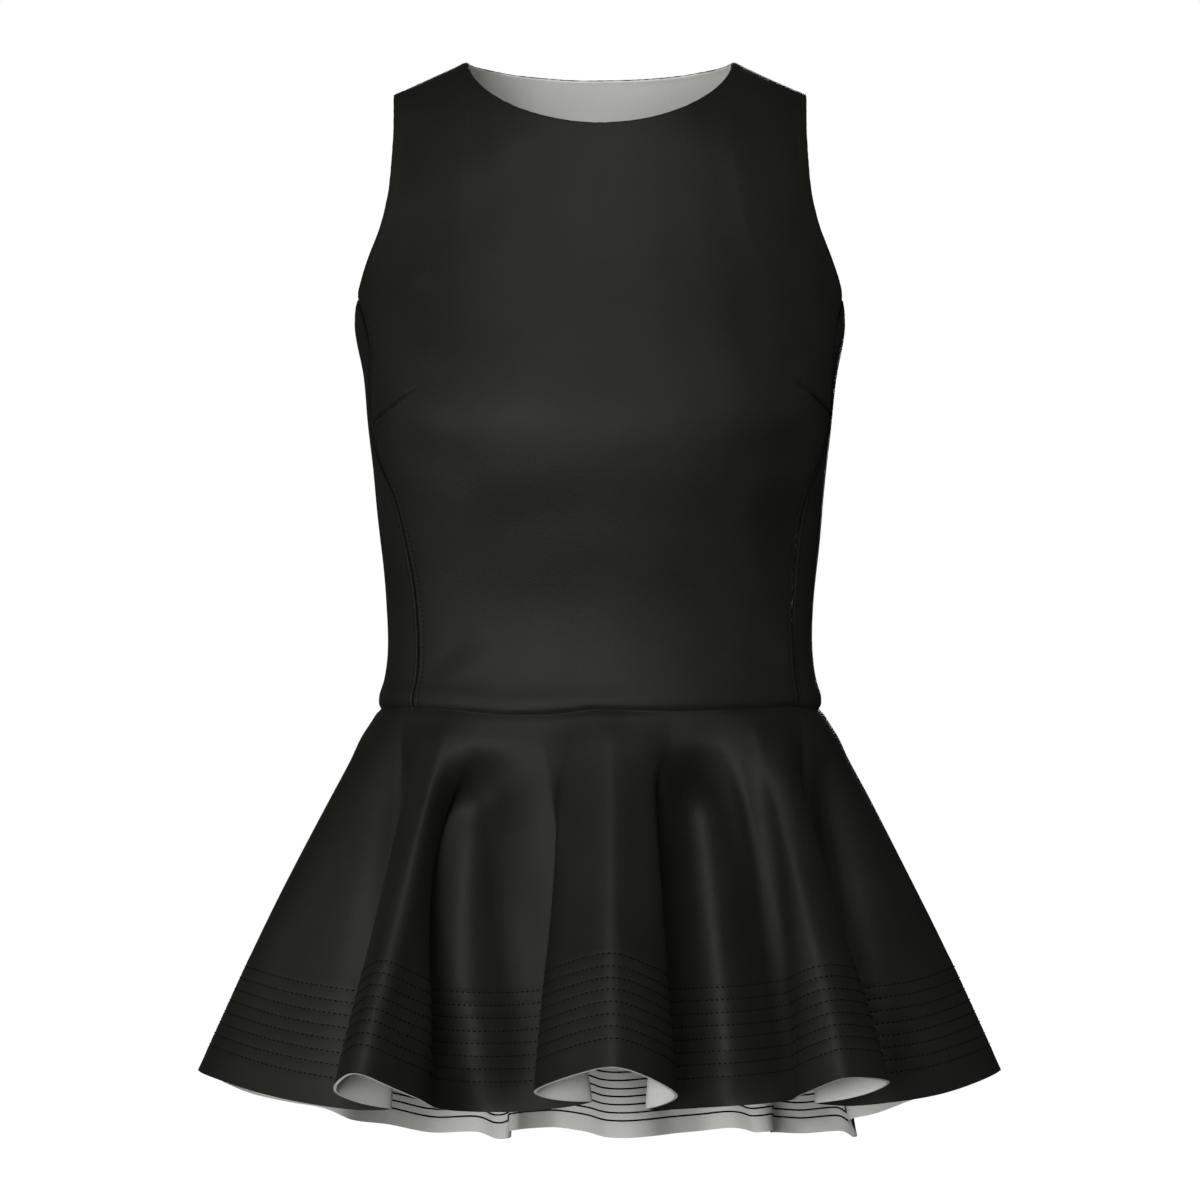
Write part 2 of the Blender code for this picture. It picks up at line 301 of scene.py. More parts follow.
def calculated(tree, operation, *values):
    return addNode(tree, "ShaderNodeMath", dict(enumerate(values)), operation=operation).outputs[0]


def newMaterial(name):
    material = bpy.data.materials.new(name)
    material.use_nodes = True
    return material, material.node_tree, material.node_tree.nodes["Principled BSDF"]


def jerseyHeight(tree, knit):
    # rows of small V loops that run along the cloth's own directions
    place = addNode(tree, "ShaderNodeUVMap", {}, uv_map="clothRun")
    split = addNode(tree, "ShaderNodeSeparateXYZ", {0: place.outputs["UV"]})
    wale = calculated(tree, "DIVIDE", split.outputs["X"], knit["waleWidth"] * mm)
    course = calculated(tree, "DIVIDE", split.outputs["Y"], knit["courseHeight"] * mm)
    fold = calculated(tree, "PINGPONG", wale, 0.5)
    slanted = calculated(tree, "ADD", course, calculated(tree, "MULTIPLY", fold, knit["slant"]))
    loop = calculated(tree, "SINE", calculated(tree, "MULTIPLY", slanted, 2 * math.pi))
    rib = calculated(tree, "SINE", calculated(tree, "MULTIPLY", fold, 2 * math.pi))
    return calculated(tree, "ADD", calculated(tree, "MULTIPLY", loop, knit["loopPart"]), rib)


def noiseOn(tree, scale, detail):
    where = addNode(tree, "ShaderNodeTexCoord", {})
    inputs = {"Scale": scale, "Detail": detail, "Vector": where.outputs["Object"]}
    return addNode(tree, "ShaderNodeTexNoise", inputs).outputs["Fac"]


def setLook(tree, shader, look, factor, darkAt, lightAt):
    colours = addNode(tree, "ShaderNodeValToRGB", {"Fac": factor})
    dark, light = colours.color_ramp.elements
    dark.position, light.position = darkAt, lightAt
    dark.color, light.color = (*look["dark"], 1), (*look["light"], 1)
    tree.links.new(colours.outputs["Color"], shader.inputs["Base Color"])
    shader.inputs["Roughness"].default_value = look["roughness"]
    shader.inputs["Specular IOR Level"].default_value = look["specular"]


colourMix = {"patches": 0.55, "grain": 0.45, "darkAt": 0.36, "lightAt": 0.64}


def clothMaterial(name, look, knit):
    material, tree, shader = newMaterial(name)
    patches = calculated(tree, "MULTIPLY", noiseOn(tree, look["patchScale"], 3), colourMix["patches"])
    grain = calculated(tree, "MULTIPLY", noiseOn(tree, look["grainScale"], 2), colourMix["grain"])
    mixed = calculated(tree, "ADD", patches, grain)
    setLook(tree, shader, look, mixed, colourMix["darkAt"], colourMix["lightAt"])
    shader.inputs["Sheen Weight"].default_value = look["sheen"]
    shader.inputs["Sheen Roughness"].default_value = look["sheenRoughness"]
    shader.inputs["Sheen Tint"].default_value = (*look["sheenTint"], 1)
    loops = addNode(tree, "ShaderNodeBump", {
        "Strength": knit["strength"], "Distance": knit["depth"] * mm, "Height": jerseyHeight(tree, knit),
    })
    soft = addNode(tree, "ShaderNodeBump", {
        "Strength": look["unevenStrength"], "Distance": look["unevenDepth"] * mm,
        "Height": noiseOn(tree, look["unevenScale"], 3), "Normal": loops.outputs["Normal"],
    })
    tree.links.new(soft.outputs["Normal"], shader.inputs["Normal"])
    return material


outsideLook = {
    "dark": (0.0072, 0.0070, 0.0052), "light": (0.0124, 0.0122, 0.0094),
    "roughness": 0.54, "specular": 0.15, "sheen": 0.01, "sheenRoughness": 0.4,
    "sheenTint": (0.9, 0.88, 0.85), "patchScale": 14, "grainScale": 1400,
    "unevenScale": 620, "unevenDepth": 0.22, "unevenStrength": 0.5,
}
insideLook = {
    "dark": (0.66, 0.66, 0.625), "light": (0.74, 0.74, 0.71),
    "roughness": 0.85, "specular": 0.15, "sheen": 0.1, "sheenRoughness": 0.5,
    "sheenTint": (1.0, 0.98, 0.95), "patchScale": 10, "grainScale": 1100,
    "unevenScale": 180, "unevenDepth": 0.35, "unevenStrength": 0.35,
}
cutEdgeLook = {
    "dark": (0.62, 0.61, 0.59), "light": (0.84, 0.83, 0.80),
    "roughness": 0.9, "specular": 0.1, "sheen": 0.1, "sheenRoughness": 0.5,
    "sheenTint": (1.0, 1.0, 1.0), "patchScale": 60, "grainScale": 1800,
    "unevenScale": 900, "unevenDepth": 0.3, "unevenStrength": 0.6,
}
threadLook = {
    "dark": (0.0018, 0.0018, 0.0017), "light": (0.0040, 0.0039, 0.0037),
    "roughness": 0.6, "specular": 0.08, "twistScale": 1600, "twistDepth": 0.1, "twistStrength": 0.4,
}
fineKnit = {"waleWidth": 0.75, "courseHeight": 0.55, "slant": 0.9, "depth": 0.05, "strength": 0.2,
            "loopPart": 0.35}

outsideCloth = clothMaterial("blackScuba", outsideLook, fineKnit)
insideCloth = clothMaterial("creamBacking", insideLook, fineKnit)
cutEdge = clothMaterial("cutClothEdge", cutEdgeLook, fineKnit)


def threadMaterial(name, look):
    material, tree, shader = newMaterial(name)
    twist = noiseOn(tree, look["twistScale"], 2)
    setLook(tree, shader, look, twist, 0, 1)
    bump = addNode(tree, "ShaderNodeBump", {
        "Strength": look["twistStrength"], "Distance": look["twistDepth"] * mm, "Height": twist,
    })
    tree.links.new(bump.outputs["Normal"], shader.inputs["Normal"])
    return material


blackThread = threadMaterial("blackThread", threadLook)
clothMaterials = [outsideCloth, insideCloth, cutEdge]

# The front and back of the bodice
mainPanels = {
    "front": {
        "node": "front", "neckDrop": 46, "neckPower": 0.55, "right": "frontRight", "left": "frontLeft",
        "turn": 0.0, "flat": (0.40, 0.43), "area": 0.125, "restsOn": [],
    },
    "back": {
        "node": "back", "neckDrop": 5, "neckPower": 0.8, "right": "back", "left": "back",
        "turn": math.pi, "flat": (0.38, 0.43), "area": 0.125, "restsOn": [],
    },
}
sewing = {
    "seamDepth": 0.6, "seamWidth": 1.3, "bandHeight": 0.1, "allowanceThickness": 0.8,
    "waistRoll": 1.2, "waistRollAt": 9, "waistRollWidth": 6.5, "waistDepth": 1.6, "waistGroove": 2.0,
    "waveReach": 45, "neckTurn": 0.25, "stitchGroove": 0.3, "stitchGrooveWidth": 0.9,
    "levelReach": 8, "turnEdge": 1.4, "stitchesOnMain": 5.0, "stitchesOnSide": 3.4,
}
# distances from the edge at which the cloth turned in, or the seam allowance, begins and ends to thin
turnFade = (5.5, 8.5)
allowanceFade = (8.5, 9.5)
# distances from the seam: the raised band starts, is full, starts to fade and ends
bands = {"shoulder": (0.5, 1.5, 4.5, 6.5), "main": (0.6, 2.0, 4.6, 6.2), "side": (0.6, 1.8, 3.0, 4.6)}
# The bust darts, as places (x, drop) seen from in front, from the point to the side seam
darts = {
    "right": ((-113.6, 211.9), (-121.4, 216.7), (-129.0, 223.1), (-138.4, 229.7), (-144.8, 235.2)),
    "left": ((119.8, 207.8), (124.3, 209.4), (135.5, 218.5), (141.5, 223.6), (145.4, 228.5)),
}
dartShape = {"depth": 3.2, "width": 0.8, "lipHeight": 0.7, "lipAt": 2.2, "lipWidth": 1.2, "dimple": 0.3,
             "dimpleWidth": 7, "reach": 16}

# Soft creases: from (x, drop) through a middle to (x, drop), width, height (troughs are negative)
softCreases = {
    "front": (
        ((-132, 244), (-106, 254), (-72, 262), 20, -2.0),
        ((136, 240), (112, 252), (76, 260), 20, -2.4),
        ((114, 262), (118, 320), (116, 384), 15, -1.6),
        ((-80, 300), (0, 306), (80, 300), 34, 1.7),
        ((-104, 398), (-84, 386), (-60, 372), 7, 0.9),
        ((-108, 388), (-92, 374), (-78, 352), 6, -0.7),
        ((112, 402), (94, 388), (72, 380), 7, 0.8),
        ((116, 384), (104, 366), (92, 340), 6, -0.7),
        ((-30, 402), (-8, 397), (22, 403), 8, -0.7),
        ((-126, 170), (-112, 188), (-92, 204), 8, 0.7),
        ((129, 168), (113, 186), (96, 200), 8, 0.6),
    ),
    "back": (
        ((-96, 372), (-40, 384), (18, 378), 9, 1.0),
        ((-110, 392), (-60, 399), (-6, 394), 7, -0.9),
        ((98, 366), (58, 377), (26, 390), 8, 0.9),
        ((110, 396), (84, 388), (50, 402), 7, -0.8),
        ((-128, 176), (-108, 204), (-92, 240), 10, -1.0),
        ((130, 172), (112, 198), (94, 236), 10, -0.9),
        ((-60, 60), (0, 72), (60, 62), 14, -0.8),
    ),
}


def neckHeight(x, drop, power):
    return -drop * (1 - np.minimum(1.0, np.abs(x) / form["neckHalfWidth"]) ** 2) ** power


def topEdge(panel):
    # the neck and shoulder line from the middle to the shoulder tip: share of the edge angle, height
    u = np.linspace(0, 1, 500)
    neck = form["neckHalfWidth"] * np.sin(math.pi / 2 * u)
    shoulder = np.linspace(form["neckHalfWidth"], form["shoulderHalfWidth"], 160)[1:]
    x = np.concatenate([neck, shoulder])
    z = np.concatenate([neckHeight(neck, panel["neckDrop"], panel["neckPower"]), ridgeHeight(shoulder)])
    tip = edgeAngle(panel["right"], np.array(-form["shoulderTipDrop"]))
    neckPoint = angleAtWidth(form["neckHalfWidth"], np.array(0.0)) / tip
    return np.minimum(1.0, angleAtWidth(x, z) / tip), z, neckPoint


def mainPanelGrid(panel):
    shares, tops, neckPoint = topEdge(panel)
    middle = spread([(0.70, 0.0155), (0.985, 0.0055), (0.9968, 0.0035), (1.0, 0.0008)])
    nearNeck = neckPoint * np.sin(math.pi / 2 * np.linspace(0.74, 1.0, 12))
    middle = np.unique(np.round(np.concatenate([middle, nearNeck]), 5))
    keep = np.concatenate([[True], np.diff(middle) > 0.0004])
    middle = middle[keep]
    share = np.concatenate([-middle[:0:-1], middle])
    top = np.interp(np.abs(share), shares, tops)
    bottom = -form["waistDrop"] + form["seamGap"] / 2
    height = -form["shoulderTipDrop"] - bottom
    rise = spread([(1.2, 0.4), (24, 1.5), (166, 2.5), (214, 0.85), (390, 2.4),
                   (height - 1.6, 1.6), (height, 0.4)])
    level = bottom + rise
    lift = (rise / height)[:, None]
    z = bottom + lift * (top - bottom)[None, :]
    right, left = edgeAngle(panel["right"], z), edgeAngle(panel["left"], z)
    onRight = (share < 0)[None, :] == (panel["turn"] == 0)
    edge = np.where(onRight, right, left)
    edge = np.where(level[:, None] <= -form["underarmDrop"], edge - gapAngle(edge, z), edge)
    return bodicePoint(panel["turn"] + share[None, :] * edge, z), level


def waveAt(points):
    front = np.interp(points[..., 0], waistWave[:, 0], waistWave[:, 1])
    back = np.interp(points[..., 0], waistWave[:, 0], waistWave[:, 2])
    nearSide = ramp(np.abs(points[..., 1]), 0, 30)
    return np.where(points[..., 1] < 0, front, back) * nearSide


def waistShape(points, up):
    # the seam pulls the cloth in and the bodice rolls softly above it
    variation = 1 + 0.3 * unevenness(points[..., 0], points[..., 1], 60, 5)
    roll = sewing["waistRoll"] * bell(up - sewing["waistRollAt"], sewing["waistRollWidth"]) * variation
    return roll - sewing["waistDepth"] * bell(up, sewing["waistGroove"])


def levelNear(normals, distance, reach):
    # turns the wall's direction level near the waist seam, so that the two walls meet
    flat = normals.copy()
    flat[..., 2] *= ramp(distance, 0, reach)
    return flat / np.linalg.norm(flat, axis=-1, keepdims=True)


def bandLift(distance, band):
    start, full, fade, end = bands[band]
    return sewing["bandHeight"] * (1 - ramp(distance, fade, end)) * ramp(distance, start, full)


def seamLift(distance, band, stitchesAt):
    # the groove of a seam, the band beside it and the groove under its row of stitches
    groove = sewing["seamDepth"] * bell(distance, sewing["seamWidth"])
    stitched = sewing["stitchGroove"] * bell(distance - stitchesAt, sewing["stitchGrooveWidth"])
    return bandLift(distance, band) - groove - stitched


def turnLift(distance):
    return sewing["neckTurn"] * (1 - ramp(distance, *turnFade))


def allowanceNear(distance):
    return 1 - ramp(distance, *allowanceFade)


def shellFaces(points, normals, lift, rounding, allowance):
    # the two faces of the cloth, which is thicker inside where a seam allowance lies
    outer = points + normals * (lift - rounding)[..., None]
    inner = points + normals * (lift - form["thickness"] + rounding)[..., None]
    inner -= normals * (sewing["allowanceThickness"] * allowance * np.where(rounding > 0, 0, 1))[..., None]
    return outer, inner


def bowed(values, t):
    # a bow from the first value to the last that reaches the middle one half way
    first, middle, last = values
    pull = 2 * middle - (first + last) / 2
    return (1 - t) ** 2 * first + 2 * t * (1 - t) * pull + t**2 * last


def dartLift(points):
    lift = np.zeros(points.shape[:2])
    for dart in darts.values():
        x, drop = np.array(dart).T
        line = onBodice(x, drop, "front")
        distance, along = nearLine(points, line, dartShape["reach"])
        strength = np.sqrt(np.clip(along * 1.15, 0, 1))
        lip = dartShape["lipHeight"] * bell(distance - dartShape["lipAt"], dartShape["lipWidth"])
        lift += (lip - dartShape["depth"] * bell(distance, dartShape["width"])) * strength
        fromPoint = np.linalg.norm(points - line[0], axis=-1)
        lift -= dartShape["dimple"] * bell(fromPoint, dartShape["dimpleWidth"])
    return lift


def creaseLift(points, half):
    lift = np.zeros(points.shape[:2])
    t = np.linspace(0, 1, 24)
    for start, middle, end, width, height in softCreases[half]:
        x, drop = np.array((start, middle, end), float).T
        line = onBodice(bowed(x, t), bowed(drop, t), half)
        distance, along = nearLine(points, line, width * 2.4)
        lift += height * bell(distance, width) * np.sin(math.pi * np.clip(along, 0.02, 0.98)) ** 0.8
    return lift


def makeMainPanel(half):
    panel = mainPanels[half]
    points, level = mainPanelGrid(panel)
    across, up = runs(points, 1), runs(points, 0)
    middleColumn = points.shape[1] // 2
    u = across - across[:, [middleColumn]]
    points[..., 2] += waveAt(points) * bell(up, sewing["waveReach"])
    normals = levelNear(gridNormals(points), up, sewing["levelReach"])
    topLine = points[-1]
    seamRows = level <= -form["underarmDrop"] + 1
    neckColumns = np.abs(topLine[:, 0]) <= form["neckHalfWidth"] + 0.2
    first, last = points[:, 0], points[:, -1]
    toNeck, _ = nearLine(points, topLine[neckColumns], 14)
    lift, rounding, allowance = 0 * up, 0 * up, 0 * up
    shoulderColumns = np.argmax(neckColumns) + 1, np.argmax(neckColumns[::-1]) + 1
    for shoulder in (topLine[:shoulderColumns[0]], topLine[::-1][:shoulderColumns[1]]):
        toShoulder, _ = nearLine(points, shoulder, 12)
        lift -= 0.5 * bell(toShoulder, 1.2)
        lift += bandLift(toShoulder, "shoulder")
        rounding = np.maximum(rounding, edgeRounding(toShoulder, form["thickness"]))
    for edgeLine in (first, last):
        toSeam, _ = nearLine(points, edgeLine[seamRows], 16)
        toArm, _ = nearLine(points, edgeLine[~seamRows], 16)
        lift += seamLift(toSeam, "main", sewing["stitchesOnMain"]) + turnLift(toArm) * ramp(toSeam, 2, 8)
        allowance = np.maximum(allowance, allowanceNear(toSeam))
        rounding = np.maximum(rounding, edgeRounding(np.minimum(toSeam, toArm), form["thickness"]))
    lift += turnLift(toNeck) + waistShape(points, up) + creaseLift(points, half)
    rounding = np.maximum(rounding, edgeRounding(toNeck, form["thickness"]))
    if half == "front":
        lift += dartLift(points)
    lift += 0.25 * unevenness(u, up, 55, 11 if half == "front" else 12) * ramp(up, 0, 20)
    outer, inner = shellFaces(points, normals, lift, rounding, np.maximum(allowance, allowanceNear(up)))
    cellRounding = (rounding[:-1, :-1] + rounding[1:, 1:]) / 2
    atNeck = toNeck[:-1, :-1] < sewing["turnEdge"]
    turned = ((cellRounding > 0.05) & ~atNeck) | (atNeck & (half == "front"))
    kinds = {
        "outside": np.zeros(cellRounding.shape, int), "inside": np.where(turned, 0, 1),
        "rim": 0, "bottomRim": 0,
    }
    uv = np.stack([u, up], axis=-1)
    piece = clothPiece(half + "Panel", outer, inner, uv, kinds)
    ownClothPart(piece, panel["node"])
    return {"normals": normals, "outer": outer, "seamRows": seamRows}


print("bodice")
frontGrid = makeMainPanel("front")
backGrid = makeMainPanel("back")

# The panels under the arms
sidePanels = {
    "left": {"node": "side_left", "front": "frontLeft", "side": 1},
    "right": {"node": "side_right", "front": "frontRight", "side": -1},
}


def makeSidePanel(name):
    panel = sidePanels[name]
    bottom = -form["waistDrop"] + form["seamGap"] / 2
    height = -form["underarmDrop"] - bottom
    rise = spread([(1.2, 0.4), (24, 1.5), (height - 1.6, 2.0), (height, 0.4)])
    share = spread([(0.02, 0.005), (0.98, 0.016), (1.0, 0.005)])
    level = (bottom + rise)[:, None]
    z = level - (rise / height)[:, None] ** 4 * form["underarmDip"] * np.sin(math.pi * share)[None, :]
    frontEdge = edgeAngle(panel["front"], z)
    backEdge = math.pi - edgeAngle("back", z)
    firstAngle = frontEdge + gapAngle(frontEdge, z)
    lastAngle = backEdge - gapAngle(backEdge, z)
    angle = firstAngle + (lastAngle - firstAngle) * share[None, :]
    points = bodicePoint(panel["side"] * angle, z)
    if panel["side"] < 0:
        points = points[:, ::-1]
    across, up = runs(points, 1), runs(points, 0)
    points[..., 2] += waveAt(points) * bell(up, sewing["waveReach"])
    normals = levelNear(gridNormals(points), up, sewing["levelReach"])
    toTop, _ = nearLine(points, points[-1], 12)
    toSide = np.minimum(across, across[:, [-1]] - across)
    lift = waistShape(points, up) + seamLift(toSide, "side", sewing["stitchesOnSide"])
    lift += turnLift(toTop) * ramp(toSide, 2, 8)
    lift += 0.35 * unevenness(across, up, 70, 31 + panel["side"]) * ramp(up, 0, 20)
    rounding = edgeRounding(np.minimum(toSide, toTop), form["thickness"])
    allowance = np.maximum(allowanceNear(toSide), allowanceNear(up))
    outer, inner = shellFaces(points, normals, lift, rounding, allowance)
    kinds = {
        "outside": np.zeros((len(rise) - 1, len(share) - 1), int),
        "inside": np.where(toTop[:-1, :-1] < sewing["turnEdge"], 0, 1), "rim": 0, "bottomRim": 0,
    }
    uv = np.stack([across, up], axis=-1)
    piece = clothPiece(name + "SidePanel", outer, inner, uv, kinds)
    ownClothPart(piece, panel["node"])
    return {"normals": normals, "outer": outer}


leftGrid = makeSidePanel("left")
rightGrid = makeSidePanel("right")

# A flute's hem seen from above: first neck, first flank, crown, last flank, last neck, and the
# cloth's lengths from waist to hem at the first neck, the crown and the last neck
frontFlutes = (
    ((-251, -34), (-237, -54), (-205, -77), (-176, -88), (-149, -92), (256, 253, 251)),
    ((-131, -93), (-162, -141), (-146, -184), (-112, -164), (-92, -129), (249, 245, 247)),
    ((-5, -128), (-40, -167), (8, -209), (47, -166), (30, -126), (242, 236, 245)),
    ((106, -126), (120, -161), (146, -183), (176, -147), (136, -93), (244, 247, 246)),
    ((154, -91), (184, -81), (214, -62), (238, -38), (252, -16), (249, 254, 257)),
)
frontValleys = {1: (-46, -119, 246), 2: (68, -116, 244)}
backFlutes = (
    ((250, 32), (232, 52), (205, 66), (184, 71), (167, 80), (262, 269, 277)),
    ((170, 106), (162, 132), (138, 148), (116, 132), (107, 100), (297, 304, 288)),
    ((99, 106), (88, 118), (70, 122), (50, 110), (32, 93), (287, 289, 285)),
    ((8, 93), (-8, 110), (-28, 120), (-46, 112), (-58, 98), (285, 284, 282)),
    ((-60, 124), (-82, 146), (-112, 147), (-142, 120), (-167, 82), (293, 299, 277)),
    ((-181, 70), (-204, 61), (-228, 50), (-243, 36), (-252, 22), (270, 268, 261)),
)
peplum = {
    "sideReach": 257, "sideLength": 258, "fullness": 0.03, "samples": 24, "waistShare": 0.35,
    "seamWidth": 1.3, "seamDepth": 1.4, "unevenHeight": 0.6, "unevenSize": 90,
    "shoulderHeight": 1.2, "shoulderAt": 21, "shoulderWidth": 11,
}
hemRows = {
    "count": 8, "lowest": 18.5, "spacing": 7.9, "sink": 0.32, "sinkWidth": 1.1, "puff": 0.2,
    "pitch": 3.5, "stitchLength": 2.3, "threadRadius": 0.45, "uneven": 0.12, "tilt": 0.12,
    "innerPitch": 3.5, "innerRadius": 0.6, "backLowest": 11.5, "backSpacing": 5.5,
    "pinch": 0.75, "wander": 0.35, "pointSpacing": 1.6,
}
peplumHalves = {
    "front": {"node": "peplum_front", "columns": 400, "start": -math.pi / 2,
              "flat": (0.749, 0.365), "area": 0.184,
              "restsOn": ["frontPanel", "leftSidePanel", "rightSidePanel"]},
    "back": {"node": "peplum_back", "columns": 330, "start": math.pi / 2,
             "flat": (0.725, 0.352), "area": 0.166,
             "restsOn": ["backPanel", "leftSidePanel", "rightSidePanel"]},
}

# Soft troughs and ridges down the flutes: places as (share of the way round the half, share of
# the way down), then width and depth, which is negative for a ridge
peplumTroughs = {
    "front": (
        (((0.309, 0.06), (0.307, 0.30), (0.316, 0.49), (0.326, 0.66), (0.336, 0.78), (0.344, 1.0)),
         23, 27.0),
        (((0.262, 0.08), (0.258, 0.40), (0.256, 0.70), (0.252, 1.0)), 10, -3.0),
        (((0.388, 0.06), (0.393, 0.45), (0.398, 0.80), (0.402, 1.0)), 16, -3.5),
        (((0.445, 0.10), (0.440, 0.50), (0.440, 1.0)), 8, -1.4),
        (((0.645, 0.06), (0.651, 0.35), (0.654, 0.65), (0.656, 1.0)), 21, 24.0),
        (((0.738, 0.06), (0.726, 0.38), (0.714, 0.66), (0.700, 1.0)), 14, 8.0),
        (((0.782, 0.08), (0.768, 0.45), (0.756, 0.80), (0.750, 1.0)), 12, -2.0),
        (((0.905, 0.06), (0.894, 0.45), (0.882, 0.80), (0.872, 1.0)), 17, 11.0),
        (((0.130, 0.10), (0.136, 0.50), (0.142, 1.0)), 12, 3.0),
        (((0.185, 0.30), (0.196, 0.60), (0.205, 1.0)), 14, 1.2),
    ),
    "back": (
        (((0.108, 0.10), (0.122, 0.50), (0.150, 1.0)), 14, 8.0),
        (((0.330, 0.08), (0.345, 0.50), (0.352, 1.0)), 13, 9.0),
        (((0.505, 0.10), (0.498, 0.55), (0.490, 1.0)), 14, 8.0),
        (((0.640, 0.08), (0.652, 0.45), (0.660, 1.0)), 13, 9.0),
        (((0.884, 0.10), (0.868, 0.50), (0.846, 1.0)), 14, 8.0),
        (((0.420, 0.35), (0.412, 0.65), (0.424, 1.0)), 14, 1.8),
        (((0.745, 0.30), (0.752, 0.65), (0.744, 1.0)), 15, 1.6),
    ),
}


def flutePlaces(flute):
    first, crown, last = flute[5]
    lengths = (first, (first + crown) / 2, crown, (crown + last) / 2, last)
    return [(*place, length) for place, length in zip(flute[:5], lengths)]


def smoothLoop(places, samples):
    places = np.array(places, float)
    t = (np.arange(samples) / samples)[:, None]
    curve = []
    for i in range(len(places)):
        p0, p1, p2, p3 = (places[(i + k - 1) % len(places)] for k in range(4))
        t1 = np.linalg.norm(p1 - p0) ** 0.5
        t2 = t1 + np.linalg.norm(p2 - p1) ** 0.5
        t3 = t2 + np.linalg.norm(p3 - p2) ** 0.5
        at = t1 + (t2 - t1) * t
        a1 = p0 * (t1 - at) / t1 + p1 * at / t1
        a2 = p1 * (t2 - at) / (t2 - t1) + p2 * (at - t1) / (t2 - t1)
        a3 = p2 * (t3 - at) / (t3 - t2) + p3 * (at - t2) / (t3 - t2)
        b1 = a1 * (t2 - at) / t2 + a2 * at / t2
        b2 = a2 * (t3 - at) / (t3 - t1) + a3 * (at - t1) / (t3 - t1)
        curve.append(b1 * (t2 - at) / (t2 - t1) + b2 * (at - t1) / (t2 - t1))
    return np.concatenate(curve)


def hemHalves():
    places = [(-peplum["sideReach"], 0, peplum["sideLength"])]
    for i, flute in enumerate(frontFlutes):
        places += flutePlaces(flute)
        if i in frontValleys:
            places.append(frontValleys[i])
    turning = len(places)
    places.append((peplum["sideReach"], 0, peplum["sideLength"]))
    for flute in backFlutes:
        places += flutePlaces(flute)
    loop = smoothLoop(places, peplum["samples"])
    turn = turning * peplum["samples"]
    return {"front": loop[:turn + 1], "back": np.concatenate([loop[turn:], loop[:1]])}


hems = hemHalves()


def alongLine(line, share):
    lengths = runs(line[:, None], 0)[:, 0]
    at = np.clip(share, 0, 1) * lengths[-1]
    return np.stack([np.interp(at, lengths, line[:, k]) for k in range(line.shape[1])], axis=-1)


def peplumPoint(half, share, down):
    # straight falls of cloth from the waist seam to the fluted hem
    start = peplumHalves[half]["start"]
    x, y = sectionPoint(start + math.pi * np.linspace(0, 1, 600), np.full(600, -form["waistDrop"]))
    top = alongLine(np.stack([x, y], axis=-1), share)
    end = alongLine(hems[half], share)
    length = end[..., 2]
    reach = end[..., :2] - top
    fall = np.sqrt(length**2 - np.sum(reach**2, axis=-1))
    out = down + peplum["fullness"] * np.sin(math.pi * down)
    place = top + reach * out[..., None]
    z = -form["waistDrop"] - form["seamGap"] / 2 - fall * down
    points = np.concatenate([place, z[..., None]], axis=-1)
    points[..., 2] += waveAt(points) * bell(down * length, sewing["waveReach"])
    return points, length


def peplumNormal(half, share, down):
    small = 0.0012
    before, _ = peplumPoint(half, np.maximum(share - small, 0), down)
    after, _ = peplumPoint(half, np.minimum(share + small, 1), down)
    higher, _ = peplumPoint(half, share, np.maximum(down - small, 0))
    lower, _ = peplumPoint(half, share, np.minimum(down + small, 1))
    normal = np.cross(after - before, higher - lower)
    return normal / np.linalg.norm(normal, axis=-1, keepdims=True)


def runAt(hemRun, down):
    # the way round the half at a height: the waist's is a share of the hem's
    return hemRun * (peplum["waistShare"] + (1 - peplum["waistShare"]) * down)


def troughLift(half, share, down, hemRun):
    spacing = runAt(hemRun, down)
    lift = 0 * down
    for places, width, depth in peplumTroughs[half]:
        shares, downs = np.array(places).T
        away = (share - np.interp(down, downs, shares)) * spacing
        strength = ramp(down, downs[0], downs[0] + 0.2) * (1 - 0.55 * ramp(down, 0.84, 1.0))
        lift = lift - depth * bell(away, width) * strength
    return lift


def rowPlaces(half, share):
    # the lowest row's height over the hem and the rows' spacing, closer in the middle of the back
    middle = ramp(share, 0, 0.16) * (1 - ramp(share, 0.84, 1)) if half == "back" else 0 * share
    lowest = hemRows["lowest"] + (hemRows["backLowest"] - hemRows["lowest"]) * middle
    spacing = hemRows["spacing"] + (hemRows["backSpacing"] - hemRows["spacing"]) * middle
    return lowest, spacing


def peplumLift(half, share, down, length, hemRun):
    # quilting along the rows of stitches, the pull of the waist seam, and slow unevenness
    above = length * (1 - down)
    lowest, spacing = rowPlaces(half, share)
    row = (above - lowest) / spacing
    nearest = np.clip(np.round(row), 0, hemRows["count"] - 1)
    away = np.abs(row - nearest) * spacing
    inBand = ramp(row, -1.2, -0.2) * (1 - ramp(row, hemRows["count"] - 0.8, hemRows["count"] + 0.4))
    lift = -hemRows["sink"] * bell(away, hemRows["sinkWidth"]) + hemRows["puff"] * inBand
    fromSeam = length * down
    lift = lift - peplum["seamDepth"] * bell(fromSeam, sewing["waistGroove"])
    uneven = unevenness(share * hemRun, fromSeam * 0.6, peplum["unevenSize"], 41 if half == "front" else 42)
    lift = lift + peplum["shoulderHeight"] * bell(fromSeam - peplum["shoulderAt"], peplum["shoulderWidth"])
    lift = lift + troughLift(half, share, down, hemRun)
    return lift + peplum["unevenHeight"] * uneven * ramp(fromSeam, 5, 60)


